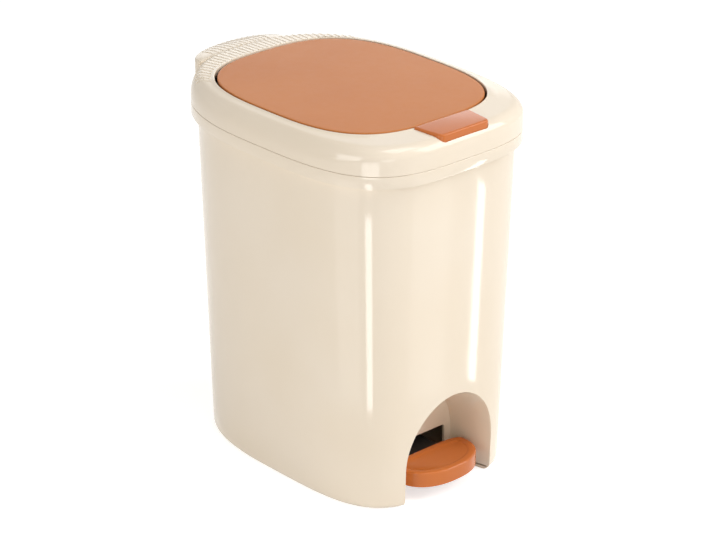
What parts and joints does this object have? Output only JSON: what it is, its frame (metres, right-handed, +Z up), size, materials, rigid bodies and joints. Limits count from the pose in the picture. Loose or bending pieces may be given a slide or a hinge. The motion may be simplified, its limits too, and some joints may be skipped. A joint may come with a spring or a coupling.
{
  "type": "pedal bin",
  "caption": "Rounded step bin with tapered barrel, lift-off lid ring, inset flap, push button, rear lifting ledge, foot pedal in an arched niche and lift-out bucket.",
  "frame": {"origin": "centre of the base plate's underside, on the floor", "axes": "+Z up along the bin's height, -Y towards the front with the pedal and the button, +X to the right seen from the front"},
  "size_m": [0.2184, 0.3177, 0.3405],
  "materials": {
    "cream_shell": "glossy moulded plastic",
    "flap_orange": "satin moulded plastic",
    "gloss_orange": "glossy moulded plastic",
    "grey_nylon": "plain moulded nylon",
    "bucket_grey": "plain moulded plastic",
    "steel": "zinc-plated steel"
  },
  "bodies": {
    "barrel": {"outer_barrel": "cream_shell", "base_cover": "cream_shell", "base_screw_1": "steel", "base_screw_2": "steel", "base_screw_3": "steel", "base_screw_4": "steel", "block_screw_left": "steel", "block_screw_right": "steel", "axle_block_left": "grey_nylon", "axle_block_right": "grey_nylon", "pedal_axle": "steel", "rod_guide_lower": "cream_shell", "rod_guide_upper": "cream_shell"},
    "pedal": {"foot_pedal": "gloss_orange", "pedal_lever": "grey_nylon", "pedal_screw_1": "steel", "pedal_screw_2": "steel"},
    "rod": {"push_rod": "steel", "rod_tip": "grey_nylon"},
    "ring": {"lid_ring": "cream_shell", "latch_housing": "cream_shell", "housing_screw_1": "steel", "housing_screw_2": "steel", "hinge_pin": "steel", "hinge_spring": "steel", "button_spring_1": "steel", "button_spring_2": "steel", "latch_spring": "steel"},
    "flap": {"flap": "flap_orange", "hinge_bracket": "grey_nylon", "bracket_screw_1": "steel", "bracket_screw_2": "steel", "flap_catch": "grey_nylon", "catch_screw": "steel"},
    "button": {"push_button": "gloss_orange"},
    "latch": {"latch_slider": "grey_nylon"},
    "bucket": {"inner_bucket": "bucket_grey"}
  },
  "joints": [
    {"name": "ring_lift", "type": "slide", "parent": "barrel", "child": "ring", "axis": [0, 0, 1], "range_m": [0, 0.36]},
    {"name": "bucket_lift", "type": "slide", "parent": "barrel", "child": "bucket", "axis": [0, 0, 1], "range_m": [0, 0.281]},
    {"name": "lid_hinge", "type": "hinge", "parent": "ring", "child": "flap", "pos_m": [0, 0.126, 0.326], "axis": [-1, 0, 0], "range_deg": [0, 75], "deforming": ["hinge_spring"]},
    {"name": "pedal_hinge", "type": "hinge", "parent": "barrel", "child": "pedal", "pos_m": [0, -0.03, 0.0205], "axis": [1, 0, 0], "range_deg": [0, 5.05]},
    {"name": "rod_slide", "type": "slide", "parent": "barrel", "child": "rod", "axis": [0, 0, 1], "range_m": [0, 0.0136]},
    {"name": "button_press", "type": "slide", "parent": "ring", "child": "button", "axis": [0, 0, -1], "range_m": [0, 0.003], "stiffness_N_per_m": 400, "springref_m": -0.003, "deforming": ["button_spring_1", "button_spring_2"]},
    {"name": "latch_slide", "type": "slide", "parent": "ring", "child": "latch", "axis": [0, -1, 0], "range_m": [0, 0.003], "deforming": ["latch_spring"]}
  ],
  "couplings": [
    {"joint": "pedal_hinge", "follows": "lid_hinge", "ratio": 0.0672},
    {"joint": "rod_slide", "follows": "lid_hinge", "m_per_rad": 0.010313},
    {"joint": "latch_slide", "follows": "button_press", "ratio": 1},
    {"joint": "bucket_lift", "follows": "ring_lift", "ratio": 0.78}
  ]
}
